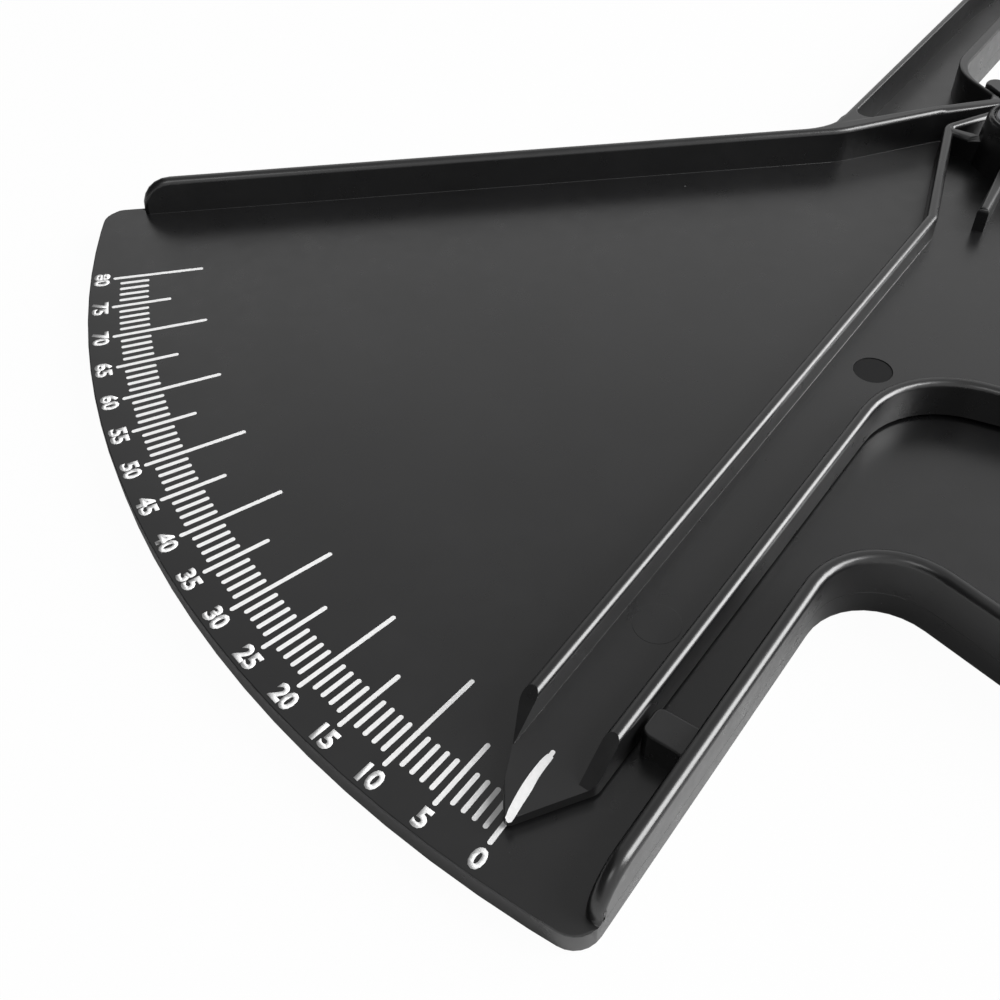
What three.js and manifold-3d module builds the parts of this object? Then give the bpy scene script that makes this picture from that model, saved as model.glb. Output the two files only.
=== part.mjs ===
// Pistol-grip skinfold caliper, in millimetres, with +Z up.
// The origin is on the pivot's axis, in the flat underside that the caliper lies on.
// The frame carries the printed fan, the grip and one jaw. The lever turns on it, and
// carries the pointer, the trigger and the other jaw. A spring in the pivot closes them.

import * as THREE from 'three';
import { mergeVertices } from 'three/addons/utils/BufferGeometryUtils.js';
import Module from 'manifold-3d';

const wasm = await Module();
wasm.setup();

// Driving dimensions

const pointerHeading = -126;       // where the pointer stands at zero, seen from above
const jawHeading = 54;             // where the closed jaws meet
const travel = 44.5;               // how far the lever turns, in degrees
const plateThickness = 3.2;
const wallHeight = 4.8;            // from the plate up to the top of every wall
const frameWall = 1.6;
const leverWall = 1.4;
const runningGap = 0.4;            // between the plate and the lever's floor
const seatGap = 0.3;               // between pieces that lie against each other
const cutOverrun = 1;              // how far every cutter passes its surface
const edgeRounding = 0.8;

const fan = {
  radius: 123.8,
  cornerRadius: 3.5,
  upperHeading: -173.8,
  upperInner: 6.3,                 // from the pivot to the upper wall's inner face
  upperEndInset: 5.6,              // how far short of the rim each long wall stops
  lowerHeading: -126.6,
  lowerOuter: 11.95,               // from the pivot to the lower wall's outer face
  lowerEndInset: 2.5,
  wallEndRounding: 4.2,
};

const rib = {                      // the thick rib between the fan and the fixed jaw
  thickness: 2.1,
  startAlong: 22.2,
  startRadius: 10,
  bendRadius: 11.85,
  bendAngle: 132,
  endRadius: 10.65,
  endAngle: 81,
};

const grip = {
  heading: -50,
  palm: 71.9,                      // from the pivot to the palm's face
  fingers: 44,                     // from the pivot to the edge on the fingers' side
  end: 127,
  endRadius: 9,
  bayRadius: 7,
  shoulderAlong: 52,
  shoulderRadius: 14,
  fingerWallStart: 95,
  markAlong: 39.8,
  markInset: 15.7,                 // from the palm's face to the middle of the round mark
  markRadius: 3.9,
  markDepth: 1.5,
};

const jaw = {
  reach: 107,                      // from the pivot to the middle of the contact faces
  contactLength: 11,
  contactGap: 0.15,                // from each face to the line that they meet on
  outer: 22.5,                     // from the line between the jaws to each outer edge
  inner: 13.8,
  wall: 0.9,
  rootAlong: 15.8,
  rootRadius: 8,
  junctionRadius: 9,
  bendRadius: 90,
  outerBendAlong: 45,
  outerShoulderAlong: 85,
  outerShoulder: 17.5,
  innerBendAlong: 46,
  innerShoulderAlong: 82,
  innerShoulder: 10,
  heel: 3.8,
  tipDepth: 6,
  tipRadius: 3,
  pocketEnd: 97,
  deepStart: 14.5,                 // from here out the moving jaw is as deep as the fixed one
  deepClearance: 0.3,              // between the moving jaw and the table
};

const stopBlock = { inset: 19.9, length: 3.1, height: 3.3 };

const arm = {                      // the pointer's arm, between its two long rims
  leftHeading: -126.5,
  leftOuter: -3.45,
  rightHeading: -126.9,
  rightOuter: 6.55,
  floorThickness: 1.2,
  tipInset: 4.5,                   // from the fan's rim to the pointer's tip
  tipLeft: 0.3,
  cheekInset: 6.8,                 // each place along the arm is measured in from the rim
  cheekLeft: -1.4,
  rightShoulderInset: 11.4,
  leftShoulderInset: 13.4,
  rimEndInset: 14.6,
  rampLength: 4,
  tipRadius: 0.5,
  cornerRadius: 1.5,
};

const hub = {
  plateRadius: 11.5,
  sideHeading: -110.3,
  side: 9.9,
  sideRadius: 3,
  topHeading: 25.6,
  top: 8.5,
  cornerRadius: 2.2,
  shoulderRadius: 8.8,
  shoulderAngle: 100,
  neckRadius: 9.8,
  neckAngle: 73,
};

const web = {                      // the lever's body between the hub and the trigger
  heading: -99,
  side: 16,
  jawCornerRadius: 12,
  fingerRadius: 13,
  mouthAlong: 15.3,
  mouthLeft: 12,
  mouthCornerRadius: 1.5,
  throatAlong: 19.5,
  throatRadius: 18,
  innerAlong: 14,
};

const trigger = {
  rootHeading: -25,
  rootLower: 53.6,
  rootWidth: 13,
  crestRadius: 10,
  width: 12,
  palmClearance: 0.8,              // to the palm's wall when squeezed all the way
  end: 73,
  endRadius: 5,
  upperBendRadius: 25,
  lowerBendRadius: 30,
};

const boss = {
  topHeight: 8.2,                  // above the plate
  baseRadius: 5.6,
  topRadius: 5,
  chamfer: 0.4,
  chamberRadius: 4.3,
  bearingThickness: 0.7,
  recessRadius: 4.35,
  recessDepth: 1.8,
  ribThickness: 1.4,
  longRibHeading: -120.5,
  longRibEnd: 18.9,
  cornerRibStart: 9,
  cornerRibStartAngle: 155.6,
  cornerRibEnd: 4.7,
  cornerRibEndAngle: 175,
};

const post = { radius: 2.3, journalRadius: 4, journalHeight: 0.9, boreRadius: 1.5, boreFloor: 1.2 };

const screw = {
  shankRadius: 1.2,
  headRadius: 4.05,
  headThickness: 1.05,
  headChamfer: 0.2,
  headDrop: 0.05,                  // how far the head's top lies below the boss's rim
  crossLength: 4,
  crossWidth: 0.9,
  crossDepth: 0.6,
};

const headWasher = { thickness: 0.4, innerRadius: 1.5, outerRadius: 4.05 };

const thrustWasher = { thickness: 0.45, innerRadius: 4.6, outerRadius: 8.6, gap: 0.05 };

const spring = {
  wire: 0.8,
  coilRadius: 3.3,
  pitch: 1.25,
  turns: 2.25,
  startHeight: 2,                  // the first curl's middle, above the plate
  tangDepth: 1.5,                  // how deep the lower end goes into the plate
  bend: 0.6,
  legAngle: 20,                    // where the upper end leaves through the boss
  legEndRadius: 5.1,
  sides: 5,
  stepsPerCurl: 8,
};

const mouldMark = { radius: 2.15, depth: 0.25, along: 51.8, left: 2 };

// Heights that follow from them

const plateTop = plateThickness;
const wallTop = plateTop + wallHeight;
const leverUnder = plateTop + runningGap;
const leverFloor = leverUnder + arm.floorThickness;
const bossTop = plateTop + boss.topHeight;
const recessFloor = bossTop - boss.recessDepth;
const chamberTop = recessFloor - boss.bearingThickness;
const gripInner = grip.palm - frameWall;
const triggerLower = gripInner - trigger.palmClearance;
const triggerHeading = grip.heading + travel;
const springFoot = spring.legAngle + 360 * spring.turns;
const arcStep = 15;                // the most degrees of turn that one facet of an arc takes
const arcSagitta = 0.025;          // how far a facet may lie inside its arc
const straightTurn = 1;            // corners that turn less than this stay as they are

// Plan geometry

const ahead = (heading) => {
  const turn = THREE.MathUtils.degToRad(heading);
  return new THREE.Vector2(Math.cos(turn), Math.sin(turn));
};

const polar = (radius, angle) => ahead(angle).multiplyScalar(radius);

// A place given along a heading from the pivot, and to the left of it
const seat = (heading, along, left) => {
  const forward = ahead(heading);
  return new THREE.Vector2(along * forward.x - left * forward.y, along * forward.y + left * forward.x);
};

// Where two lines cross, each given by its heading and its distance left of the pivot
const crossing = (headingA, leftA, headingB, leftB) => {
  const a = ahead(headingA);
  const b = ahead(headingB);
  const turn = a.x * b.y - a.y * b.x;
  return new THREE.Vector2((leftA * b.x - leftB * a.x) / turn, (leftA * b.y - leftB * a.y) / turn);
};

// The points of an outline whose corners are pairs of a place and a fillet radius
function rounded(corners) {
  const points = [];
  corners.forEach(([corner, radius], i) => {
    const before = corners[(i + corners.length - 1) % corners.length][0];
    const after = corners[(i + 1) % corners.length][0];
    const back = before.clone().sub(corner);
    const on = after.clone().sub(corner);
    const reach = Math.min(back.length(), on.length()) / 2;
    const half = back.angleTo(on) / 2;
    if (!radius || Math.PI - 2 * half < THREE.MathUtils.degToRad(straightTurn)) {
      points.push(corner.clone());
      return;
    }
    const tangent = Math.min(radius / Math.tan(half), reach);
    const fillet = tangent * Math.tan(half);
    const middle = back.clone().normalize().add(on.clone().normalize()).normalize();
    const centre = corner.clone().addScaledVector(middle, fillet / Math.sin(half));
    const start = corner.clone().addScaledVector(back.normalize(), tangent).sub(centre);
    const end = corner.clone().addScaledVector(on.normalize(), tangent).sub(centre);
    let sweep = end.angle() - start.angle();
    if (sweep > Math.PI) sweep -= 2 * Math.PI;
    if (sweep < -Math.PI) sweep += 2 * Math.PI;
    const facet = Math.min(THREE.MathUtils.degToRad(arcStep), 2 * Math.acos(1 - arcSagitta / fillet));
    const steps = Math.max(2, Math.ceil(Math.abs(sweep) / facet));
    for (let k = 0; k <= steps; k++) {
      points.push(start.clone().rotateAround(new THREE.Vector2(), (sweep * k) / steps).add(centre));
    }
  });
  return points;
}

// Solids

function solidOf(geometry) {
  geometry.deleteAttribute('normal');
  geometry.deleteAttribute('uv');
  const merged = mergeVertices(geometry);
  return new wasm.Manifold(new wasm.Mesh({
    numProp: 3,
    vertProperties: new Float32Array(merged.attributes.position.array),
    triVerts: new Uint32Array(merged.index.array),
  }));
}

function prism(points, bottom, top) {
  const geometry = new THREE.ExtrudeGeometry(new THREE.Shape(points), { depth: top - bottom, bevelEnabled: false });
  return solidOf(geometry.translate(0, 0, bottom));
}

function turned(profile, segments) {
  const points = profile.map(([radius, height]) => new THREE.Vector2(radius, height));
  return solidOf(new THREE.LatheGeometry(points, segments).rotateX(Math.PI / 2));
}

const disc = (radius, bottom, top, segments) => turned(
  [[0, bottom], [radius, bottom], [radius, top], [0, top]], segments);

const ring = (inner, outer, bottom, top, segments) => turned(
  [[inner, bottom], [outer, bottom], [outer, top], [inner, top], [inner, bottom]], segments);

// A straight bar that starts and ends along a heading, with its middle left of the pivot
function bar(heading, start, end, left, width, bottom, top) {
  const half = width / 2;
  return prism([
    seat(heading, start, left - half), seat(heading, end, left - half),
    seat(heading, end, left + half), seat(heading, start, left + half)], bottom, top);
}

function piece(name, solid, material) {
  const { vertProperties, triVerts } = solid.getMesh();
  const geometry = new THREE.BufferGeometry();
  geometry.setAttribute('position', new THREE.BufferAttribute(vertProperties, 3));
  geometry.setIndex(new THREE.BufferAttribute(triVerts, 1));
  geometry.computeVertexNormals();
  const mesh = new THREE.Mesh(geometry, material);
  mesh.name = name;
  return mesh;
}

// Materials

const blackPlastic = new THREE.MeshStandardMaterial({ color: 0x1d1e20, roughness: 0.42, metalness: 0 });
const springSteel = new THREE.MeshStandardMaterial({ color: 0x8b8d90, roughness: 0.3, metalness: 1 });
const blackSteel = new THREE.MeshStandardMaterial({ color: 0x2b2c2e, roughness: 0.35, metalness: 0.6 });
const whiteNylon = new THREE.MeshStandardMaterial({ color: 0xe6e4dc, roughness: 0.5, metalness: 0 });

// Each jaw is the other's mirror image in the line that they meet on

const contactStart = jaw.reach - jaw.contactLength / 2;
const contactEnd = jaw.reach + jaw.contactLength / 2;

const jawOuterCorners = (side) => [
  [seat(jawHeading, jaw.outerBendAlong, side * jaw.outer), jaw.bendRadius],
  [seat(jawHeading, jaw.outerShoulderAlong, side * jaw.outerShoulder), jaw.bendRadius],
  [seat(jawHeading, contactEnd, side * jaw.tipDepth), jaw.tipRadius],
  [seat(jawHeading, contactEnd, side * jaw.contactGap), edgeRounding],
];

const jawInnerCorners = (side) => [
  [seat(jawHeading, contactStart, side * jaw.contactGap), edgeRounding],
  [seat(jawHeading, contactStart, side * jaw.heel), edgeRounding],
  [seat(jawHeading, jaw.innerShoulderAlong, side * jaw.innerShoulder), jaw.bendRadius],
  [seat(jawHeading, jaw.innerBendAlong, side * jaw.inner), jaw.bendRadius],
];

const pocketOuter = jaw.outer - jaw.wall;
const pocketInner = jaw.inner + frameWall;
const pocketOuterShoulder = jaw.outerShoulder - jaw.wall;
const pocketInnerShoulder = jaw.innerShoulder + frameWall;
const pocketTip = (jaw.tipDepth + jaw.heel) / 2 + frameWall;

// The long hollow along a jaw, from its tip back to its root
const jawPocketCorners = (side) => [
  [seat(jawHeading, jaw.innerBendAlong, side * pocketInner), jaw.bendRadius],
  [seat(jawHeading, jaw.innerShoulderAlong, side * pocketInnerShoulder), jaw.bendRadius],
  [seat(jawHeading, jaw.pocketEnd, side * pocketTip), edgeRounding],
  [seat(jawHeading, jaw.pocketEnd - frameWall, side * (pocketTip + frameWall)), edgeRounding],
  [seat(jawHeading, jaw.outerShoulderAlong, side * pocketOuterShoulder), jaw.bendRadius],
  [seat(jawHeading, jaw.outerBendAlong, side * pocketOuter), jaw.bendRadius],
];

// Frame

const upperOuter = fan.upperInner + frameWall;
const lowerInner = fan.lowerOuter - frameWall;
const alongRim = (left) => Math.sqrt(fan.radius ** 2 - left ** 2);
const ribBend = polar(rib.bendRadius, rib.bendAngle);
const ribEnd = polar(rib.endRadius, rib.endAngle);

function fanRim() {
  const high = seat(fan.upperHeading, alongRim(upperOuter), -upperOuter);
  const low = seat(fan.lowerHeading, alongRim(fan.lowerOuter), fan.lowerOuter);
  const start = low.angle();
  const sweep = high.angle() - start;
  const steps = Math.ceil(Math.abs(sweep) / (2 * Math.acos(1 - arcSagitta / fan.radius)));
  const corners = [[low, fan.cornerRadius]];
  for (let i = 1; i < steps; i++) {
    corners.push([low.clone().rotateAround(new THREE.Vector2(), (sweep * i) / steps), 0]);
  }
  corners.push([high, fan.cornerRadius]);
  return corners;
}

const frameOutline = rounded([
  ...fanRim().reverse(),
  [crossing(fan.lowerHeading, fan.lowerOuter, grip.heading, -grip.palm), grip.bayRadius],
  [seat(grip.heading, grip.end, -grip.palm), grip.endRadius],
  [seat(grip.heading, grip.end, -grip.fingers), grip.endRadius],
  [seat(grip.heading, grip.shoulderAlong, -grip.fingers), grip.shoulderRadius],
  [polar(hub.plateRadius - frameWall, grip.heading), 0],
  [ribEnd, 0],
  [seat(jawHeading, jaw.rootAlong, jaw.inner), jaw.rootRadius],
  ...jawInnerCorners(1).reverse(),
  ...jawOuterCorners(1).reverse(),
  [crossing(fan.upperHeading, -upperOuter, jawHeading, jaw.outer), jaw.junctionRadius],
].reverse());

const beyondRim = fan.radius * 1.3;
const fanMiddle = (fan.upperHeading + fan.lowerHeading) / 2;
const fanQuarter = (fan.lowerHeading - fan.upperHeading) / 4;

// Everything inside the walls, and open across the fan's rim and the fingers' side
const floorOutline = rounded([
  [seat(fan.upperHeading, beyondRim, -fan.upperInner), 0],
  [seat(fan.upperHeading, rib.startAlong, -fan.upperInner), rib.startRadius],
  [ribBend, rib.bendRadius],
  [ribEnd.clone().add(ribEnd.clone().sub(ribBend)), 0],
  [seat(jawHeading, 0, -grip.end), 0],
  [seat(grip.heading, grip.fingerWallStart, 0), 0],
  [seat(grip.heading, grip.fingerWallStart, -grip.fingers - frameWall), 0],
  [seat(grip.heading, grip.end - frameWall, -grip.fingers - frameWall), grip.endRadius - frameWall],
  [seat(grip.heading, grip.end - frameWall, -gripInner), grip.endRadius - frameWall],
  [crossing(fan.lowerHeading, lowerInner, grip.heading, -gripInner), grip.bayRadius + frameWall],
  [seat(fan.lowerHeading, beyondRim, lowerInner), 0],
  [polar(beyondRim, fanMiddle + fanQuarter), 0],
  [polar(beyondRim, fanMiddle - fanQuarter), 0],
]);

// The triangle beside the fan runs on into the fixed jaw as one hollow
const ribTop = (place) => place.clone().setLength(place.length() + rib.thickness);
const fixedPocket = rounded([
  [crossing(fan.upperHeading, -fan.upperInner - rib.thickness, jawHeading, pocketOuter), frameWall],
  [ribTop(ribBend), rib.bendRadius],
  [ribTop(ribEnd).addScaledVector(ahead(fan.upperHeading), frameWall), edgeRounding],
  [seat(jawHeading, jaw.rootAlong, pocketInner), jaw.rootRadius + frameWall],
  ...jawPocketCorners(1),
]);

// Rounds off the end of one of the fan's long walls, short of the rim
function wallEnd(heading, left, end) {
  const round = fan.wallEndRounding;
  const profile = [new THREE.Vector2(end - round, wallTop + cutOverrun)];
  for (let angle = 0; angle <= 90; angle += arcStep) {
    const turn = ahead(angle);
    profile.push(new THREE.Vector2(end - round + round * turn.y, wallTop - round + round * turn.x));
  }
  profile.push(new THREE.Vector2(end, plateTop), new THREE.Vector2(beyondRim, plateTop));
  profile.push(new THREE.Vector2(beyondRim, wallTop + cutOverrun));
  const width = 3 * frameWall;
  const shape = new THREE.ExtrudeGeometry(new THREE.Shape(profile), { depth: width, bevelEnabled: false });
  const middle = seat(heading, 0, left);
  shape.translate(0, 0, -width / 2).rotateX(Math.PI / 2).rotateZ(THREE.MathUtils.degToRad(heading));
  return solidOf(shape.translate(middle.x, middle.y, 0));
}

function frameSolid() {
  const mark = seat(grip.heading, grip.markAlong, grip.markInset - grip.palm);
  const blockStart = fan.radius - stopBlock.inset;
  const blockLeft = seat(fan.lowerHeading, blockStart, lowerInner);
  const blockRight = seat(arm.rightHeading, blockStart, arm.rightOuter + seatGap);
  const blockWay = ahead(pointerHeading).multiplyScalar(stopBlock.length);
  const intoWall = blockLeft.clone().sub(blockRight).setLength(frameWall / 2);
  const block = rounded([
    [blockRight, edgeRounding], [blockRight.clone().add(blockWay), edgeRounding],
    [blockLeft.clone().add(blockWay).add(intoWall), 0], [blockLeft.clone().add(intoWall), 0]]);
  const tang = polar(spring.coilRadius, springFoot);
  return prism(frameOutline, 0, wallTop)
    .subtract(prism(floorOutline, plateTop, wallTop + cutOverrun))
    .subtract(prism(fixedPocket, plateTop, wallTop + cutOverrun))
    .subtract(wallEnd(fan.upperHeading, -upperOuter, fan.radius - fan.upperEndInset))
    .subtract(wallEnd(fan.lowerHeading, fan.lowerOuter, fan.radius - fan.lowerEndInset))
    .add(disc(hub.plateRadius, 0, plateTop, 48))
    .add(prism(block, plateTop / 2, plateTop + stopBlock.height))
    .add(disc(post.journalRadius, plateTop / 2, plateTop + post.journalHeight, 32))
    .add(disc(post.radius, plateTop, recessFloor + seatGap / 2, 24))
    .subtract(disc(post.boreRadius, post.boreFloor, bossTop, 20))
    .subtract(disc(grip.markRadius, plateTop - grip.markDepth, wallTop, 24).translate(mark.x, mark.y, 0))
    .subtract(disc(spring.wire / 2 + seatGap, plateTop - spring.tangDepth - seatGap, bossTop, 12)
      .intersect(disc(post.journalRadius, 0, plateTop + post.journalHeight + cutOverrun, 12))
      .translate(tang.x, tang.y, 0));
}

// Lever

const triggerUpper = triggerLower - trigger.width;
const rootUpper = trigger.rootLower - trigger.rootWidth;

const leverOutline = rounded([
  [seat(arm.leftHeading, fan.radius - arm.leftShoulderInset, arm.leftOuter), arm.cornerRadius],
  [crossing(arm.leftHeading, arm.leftOuter, hub.sideHeading, -hub.side), hub.sideRadius],
  [crossing(hub.sideHeading, -hub.side, hub.topHeading, hub.top), hub.cornerRadius],
  [polar(hub.shoulderRadius, hub.shoulderAngle), hub.cornerRadius],
  [polar(hub.neckRadius, hub.neckAngle), edgeRounding],
  [seat(jawHeading, web.mouthAlong, web.mouthLeft), web.mouthCornerRadius],
  [seat(jawHeading, web.throatAlong, -jaw.inner), web.throatRadius],
  ...jawInnerCorners(-1).reverse(),
  ...jawOuterCorners(-1).reverse(),
  [crossing(jawHeading, -jaw.outer, web.heading, web.side), web.jawCornerRadius],
  [crossing(web.heading, web.side, trigger.rootHeading, -rootUpper), web.fingerRadius],
  [crossing(trigger.rootHeading, -rootUpper, triggerHeading, -triggerUpper), trigger.upperBendRadius],
  [seat(triggerHeading, trigger.end, -triggerUpper), trigger.endRadius],
  [seat(triggerHeading, trigger.end, -triggerLower), trigger.endRadius],
  [crossing(triggerHeading, -triggerLower, trigger.rootHeading, -trigger.rootLower), trigger.lowerBendRadius],
  [crossing(trigger.rootHeading, -trigger.rootLower, arm.rightHeading, arm.rightOuter), trigger.crestRadius],
  [seat(arm.rightHeading, fan.radius - arm.rightShoulderInset, arm.rightOuter), arm.cornerRadius],
  [seat(pointerHeading, fan.radius - arm.tipInset, arm.tipLeft), arm.tipRadius],
  [seat(pointerHeading, fan.radius - arm.cheekInset, arm.cheekLeft), 0],
]);

const innerOf = (outer) => outer - leverWall;
const beyondTip = fan.radius - arm.tipInset + cutOverrun;
const rimEnd = fan.radius - arm.rimEndInset;

// The tray between the rims, from the pointer's open end round to the trigger's end
const leverTray = rounded([
  [seat(arm.leftHeading, beyondTip, arm.leftOuter + leverWall), 0],
  [crossing(arm.leftHeading, arm.leftOuter + leverWall, hub.sideHeading, -innerOf(hub.side)), hub.sideRadius],
  [crossing(hub.sideHeading, -innerOf(hub.side), hub.topHeading, innerOf(hub.top)), edgeRounding],
  [polar(innerOf(hub.shoulderRadius), hub.shoulderAngle), edgeRounding],
  [seat(jawHeading, innerOf(hub.neckRadius), -cutOverrun), edgeRounding],
  [seat(jawHeading, web.innerAlong, -cutOverrun), edgeRounding],
  [seat(jawHeading, web.innerAlong, -innerOf(jaw.outer)), edgeRounding],
  [crossing(jawHeading, -innerOf(jaw.outer), web.heading, innerOf(web.side)), web.jawCornerRadius + leverWall],
  [crossing(web.heading, innerOf(web.side), trigger.rootHeading, -rootUpper - leverWall),
    web.fingerRadius + leverWall],
  [crossing(trigger.rootHeading, -rootUpper - leverWall, triggerHeading, -triggerUpper - leverWall),
    trigger.upperBendRadius + leverWall],
  [seat(triggerHeading, innerOf(trigger.end), -triggerUpper - leverWall), innerOf(trigger.endRadius)],
  [seat(triggerHeading, innerOf(trigger.end), -innerOf(triggerLower)), innerOf(trigger.endRadius)],
  [crossing(triggerHeading, -innerOf(triggerLower), trigger.rootHeading, -innerOf(trigger.rootLower)),
    innerOf(trigger.lowerBendRadius)],
  [crossing(trigger.rootHeading, -innerOf(trigger.rootLower), arm.rightHeading, innerOf(arm.rightOuter)),
    trigger.crestRadius + leverWall],
  [seat(arm.rightHeading, beyondTip, innerOf(arm.rightOuter)), 0],
]);

const movingPocket = rounded([
  [seat(jawHeading, web.innerAlong + 2 * frameWall, -pocketOuter), edgeRounding],
  [seat(jawHeading, web.throatAlong + frameWall, -pocketInner - frameWall), web.jawCornerRadius],
  [seat(jawHeading, web.throatAlong + web.throatRadius, -pocketInner), web.throatRadius],
  ...jawPocketCorners(-1),
]);

// Cuts the rims down to the floor in a slope, short of the pointer's tip
function rimRamp() {
  const profile = [
    new THREE.Vector2(rimEnd, wallTop + cutOverrun), new THREE.Vector2(rimEnd, wallTop),
    new THREE.Vector2(rimEnd + arm.rampLength, leverFloor), new THREE.Vector2(beyondTip, leverFloor),
    new THREE.Vector2(beyondTip, wallTop + cutOverrun)];
  const width = 4 * arm.rightOuter;
  const shape = new THREE.ExtrudeGeometry(new THREE.Shape(profile), { depth: width, bevelEnabled: false });
  shape.translate(0, 0, -width / 2).rotateX(Math.PI / 2);
  return solidOf(shape.rotateZ(THREE.MathUtils.degToRad(pointerHeading)));
}

function bossSolid() {
  const chamferRadius = boss.topRadius - boss.chamfer;
  return turned([
    [0, leverUnder], [boss.baseRadius, leverUnder], [boss.baseRadius, leverFloor],
    [boss.topRadius, bossTop - boss.chamfer], [chamferRadius, bossTop], [0, bossTop]], 40);
}

// The short rib from the rim's corner to the boss
function cornerRib() {
  const start = polar(boss.cornerRibStart, boss.cornerRibStartAngle);
  const end = polar(boss.cornerRibEnd, boss.cornerRibEndAngle);
  const side = end.clone().sub(start).rotateAround(new THREE.Vector2(), Math.PI / 2);
  side.setLength(boss.ribThickness / 2);
  return prism([
    start.clone().add(side), start.clone().sub(side), end.clone().sub(side), end.clone().add(side)],
  leverUnder, wallTop);
}

function leverSolid() {
  const deepSide = 2 * jaw.outer;
  const deepJaw = prism(leverOutline, jaw.deepClearance, wallTop)
    .intersect(bar(jawHeading, jaw.deepStart, 2 * jaw.reach, 0, deepSide + cutOverrun, 0, leverFloor));
const windowMiddle = plateTop + spring.startHeight + spring.turns * spring.pitch;
  const windowHalf = spring.wire / 2 + seatGap;
  const washerSeat = leverUnder + thrustWasher.gap * 3;
  const mark = seat(pointerHeading, mouldMark.along, mouldMark.left);
  return prism(leverOutline, leverUnder, wallTop)
    .subtract(prism(leverTray, leverFloor, wallTop + cutOverrun))
    .subtract(rimRamp())
    .add(deepJaw)
    .subtract(prism(movingPocket, jaw.deepClearance + plateThickness, wallTop + cutOverrun))
    .add(bossSolid())
    .add(bar(boss.longRibHeading, post.radius, boss.longRibEnd, 0, boss.ribThickness, leverUnder, wallTop))
    .add(cornerRib())
    .subtract(disc(boss.chamberRadius, leverUnder - cutOverrun, chamberTop, 32))
    .subtract(disc(post.radius + seatGap, leverUnder, bossTop, 24))
    .subtract(disc(boss.recessRadius, recessFloor, bossTop + cutOverrun, 40))
    .subtract(disc(thrustWasher.outerRadius + seatGap, leverUnder - cutOverrun, washerSeat, 40))
    .subtract(disc(mouldMark.radius, leverFloor - mouldMark.depth, wallTop, 24).translate(mark.x, mark.y, 0))
    .subtract(bar(spring.legAngle, spring.coilRadius, boss.baseRadius + cutOverrun, 0, 2 * windowHalf,
      windowMiddle - windowHalf, windowMiddle + windowHalf));
}

// Pivot hardware

function screwSolid() {
  const headTop = bossTop - screw.headDrop;
  const headUnder = headTop - screw.headThickness;
  const shankEnd = post.boreFloor + seatGap;
  const head = turned([
    [0, shankEnd], [screw.shankRadius, shankEnd + screw.shankRadius], [screw.shankRadius, headUnder],
    [screw.headRadius, headUnder], [screw.headRadius, headTop - screw.headChamfer],
    [screw.headRadius - screw.headChamfer, headTop], [0, headTop]], 40);
  const half = screw.crossLength / 2;
  const slot = (heading) => bar(heading, -half, half, 0, screw.crossWidth,
    headTop - screw.crossDepth, bossTop + cutOverrun);
  return head.subtract(slot(jawHeading)).subtract(slot(jawHeading + 90));
}

function headWasherSolid() {
  const top = bossTop - screw.headDrop - screw.headThickness - thrustWasher.gap;
  return ring(headWasher.innerRadius, headWasher.outerRadius, top - headWasher.thickness, top, 40);
}

function thrustWasherSolid() {
  const bottom = plateTop + thrustWasher.gap;
  return ring(thrustWasher.innerRadius, thrustWasher.outerRadius, bottom, bottom + thrustWasher.thickness, 40);
}

// The wire's middle line: up out of the plate, round the post, and out through the boss
function springPath() {
  const start = plateTop + spring.startHeight;
  const top = start + spring.turns * spring.pitch;
  const steps = Math.round(spring.turns * spring.stepsPerCurl);
  const at = (place, height) => new THREE.Vector3(place.x, place.y, height);
  const foot = polar(spring.coilRadius, springFoot);
  const path = [at(foot, plateTop - spring.tangDepth), at(foot, start - spring.bend)];
  for (let i = 1; i < steps; i++) {
    const share = i / steps;
    const angle = springFoot + (spring.legAngle - springFoot) * share;
    path.push(at(polar(spring.coilRadius, angle), start + (top - start) * share));
  }
  const shoulder = seat(spring.legAngle, spring.coilRadius, spring.bend);
  path.push(at(shoulder, top));
  path.push(at(polar(spring.coilRadius + spring.bend, spring.legAngle), top));
  path.push(at(polar(spring.legEndRadius, spring.legAngle), top));
  return path;
}

// A tube of flat facets round a path, with its ends closed
function tube(path, radius, sides) {
  const positions = [];
  const indices = [];
  let across = new THREE.Vector3(1, 0, 0);
  path.forEach((point, i) => {
    const back = path[Math.max(i - 1, 0)];
    const on = path[Math.min(i + 1, path.length - 1)];
    const way = on.clone().sub(back).normalize();
    across = across.clone().addScaledVector(way, -across.dot(way)).normalize();
    const third = way.clone().cross(across);
    for (let k = 0; k < sides; k++) {
      const turn = (2 * Math.PI * k) / sides;
      const rim = point.clone().addScaledVector(across, radius * Math.cos(turn));
      rim.addScaledVector(third, radius * Math.sin(turn));
      positions.push(rim.x, rim.y, rim.z);
    }
  });
  const last = (path.length - 1) * sides;
  for (let i = 0; i < last; i += sides) {
    for (let k = 0; k < sides; k++) {
      const next = (k + 1) % sides;
      indices.push(i + k, i + next, i + sides + next, i + k, i + sides + next, i + sides + k);
    }
  }
  for (let k = 1; k < sides - 1; k++) {
    indices.push(0, k + 1, k, last, last + k, last + k + 1);
  }
  const geometry = new THREE.BufferGeometry();
  geometry.setAttribute('position', new THREE.Float32BufferAttribute(positions, 3));
  geometry.setIndex(indices);
  return geometry;
}

// The least gap between stretches of the wire that are not neighbours along it
function leastGap(path) {
  let least = Infinity;
  const skip = Math.ceil(spring.stepsPerCurl / 2);
  for (let i = 0; i < path.length; i++) {
    for (let j = i + skip; j < path.length; j++) {
      least = Math.min(least, path[i].distanceTo(path[j]) - spring.wire);
    }
  }
  return least;
}

const wirePath = springPath();
console.log('least gap of the spring to itself:', leastGap(wirePath).toFixed(2), 'mm');

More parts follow.
